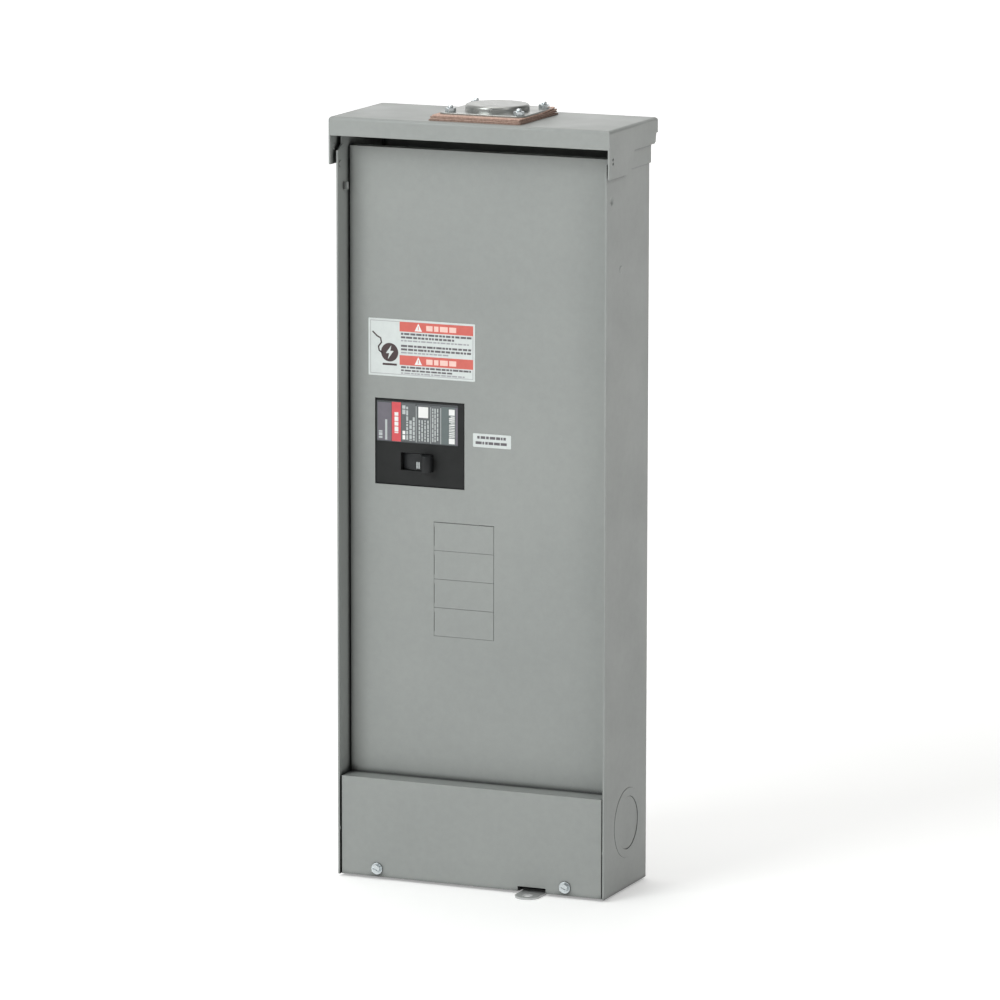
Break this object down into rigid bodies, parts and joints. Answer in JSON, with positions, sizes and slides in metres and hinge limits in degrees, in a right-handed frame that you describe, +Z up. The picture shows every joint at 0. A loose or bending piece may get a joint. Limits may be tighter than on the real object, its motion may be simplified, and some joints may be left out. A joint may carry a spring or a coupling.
{
  "type": "outdoor load center",
  "caption": "Surface-mounted outdoor load center: grey steel box under a rain hood, recessed dead front with main breaker opening and twist-outs, hub closure on top and padlock hasp below.",
  "frame": {"origin": "centre of the four wall-mounting holes, on the plane of the wall behind the box", "axes": "+Z up, +X to the right as seen from the front, the front faces -Y and the wall is at Y = 0"},
  "size_m": [0.2624, 0.1244, 0.6865],
  "materials": {
    "grey_paint": "semi-gloss powder coat",
    "zinc_steel": "bright zinc plate",
    "zinc_plate": "bright zinc plate",
    "cork_rubber": "matte layered gasket stock",
    "label_stock": "gloss vinyl label",
    "galvanised_pan": "galvanised",
    "black_moulding": "fine moulded texture",
    "handle_plastic": "moulded satin",
    "brown_moulding": "moulded thermoset",
    "white_moulding": "moulded nylon",
    "tinned_bus": "tin plated",
    "lug_aluminium": "extruded and tin plated",
    "copper": "bare copper",
    "bimetal": "rolled",
    "dark_steel": "black oxide",
    "green_steel": "green dyed",
    "breaker_label": "printed polyester"
  },
  "bodies": {
    "enclosure": {"enclosure_box": "grey_paint", "top_end_wall": "grey_paint", "rain_hood": "grey_paint", "bottom_end_wall": "grey_paint", "padlock_hasp": "zinc_steel", "side_knockouts": "grey_paint", "bottom_knockouts": "grey_paint", "hub_gasket": "cork_rubber", "hub_closure_plate": "zinc_plate", "hub_screws": "zinc_steel", "hub_nuts": "zinc_steel", "interior_pan": "galvanised_pan", "pan_screws": "zinc_steel", "bus_support": "black_moulding", "left_bus_bar": "tinned_bus", "right_bus_bar": "tinned_bus", "bus_bolts": "zinc_steel", "breaker_rail": "galvanised_pan", "main_breaker_base": "black_moulding", "main_breaker_cover": "black_moulding", "breaker_cover_screws": "dark_steel", "main_breaker_label": "breaker_label", "handle_pin": "zinc_steel", "fixed_contacts": "copper", "arc_chutes": "zinc_steel", "flexible_shunts": "copper", "bimetal_strips": "bimetal", "load_straps": "copper", "line_lugs": "lug_aluminium", "line_lug_screws": "zinc_steel", "feed_through_lugs": "lug_aluminium", "feed_lug_screws": "zinc_steel", "neutral_bar": "lug_aluminium", "neutral_insulators": "white_moulding", "neutral_bar_screws": "zinc_steel", "main_neutral_lug": "lug_aluminium", "neutral_lug_screw": "zinc_steel", "bonding_strap": "copper", "bonding_screw": "green_steel", "ground_bar": "lug_aluminium", "ground_bar_screws": "green_steel"},
    "dead_front": {"deadfront_cover": "grey_paint", "twist_outs": "grey_paint", "deadfront_screws": "zinc_steel", "danger_label": "label_stock", "service_label": "label_stock"},
    "main_handle": {"main_breaker_handle": "handle_plastic"},
    "contact_bar": {"contact_crossbar": "brown_moulding", "contact_arms": "copper"}
  },
  "joints": [
    {"name": "dead_front_swing", "type": "hinge", "parent": "enclosure", "child": "dead_front", "pos_m": [0, -0.084, 0.275], "axis": [-1, 0, 0], "range_deg": [0, 25]},
    {"name": "main_handle_throw", "type": "hinge", "parent": "enclosure", "child": "main_handle", "pos_m": [-0.0602, -0.054, 0.0337], "axis": [0, 0, 1], "range_deg": [-36, 0]},
    {"name": "contact_swing", "type": "hinge", "parent": "enclosure", "child": "contact_bar", "pos_m": [-0.0574, -0.04, 0.03], "axis": [1, 0, 0], "range_deg": [0, 20]}
  ],
  "couplings": [
    {"joint": "contact_swing", "follows": "main_handle_throw", "ratio": -0.55}
  ]
}
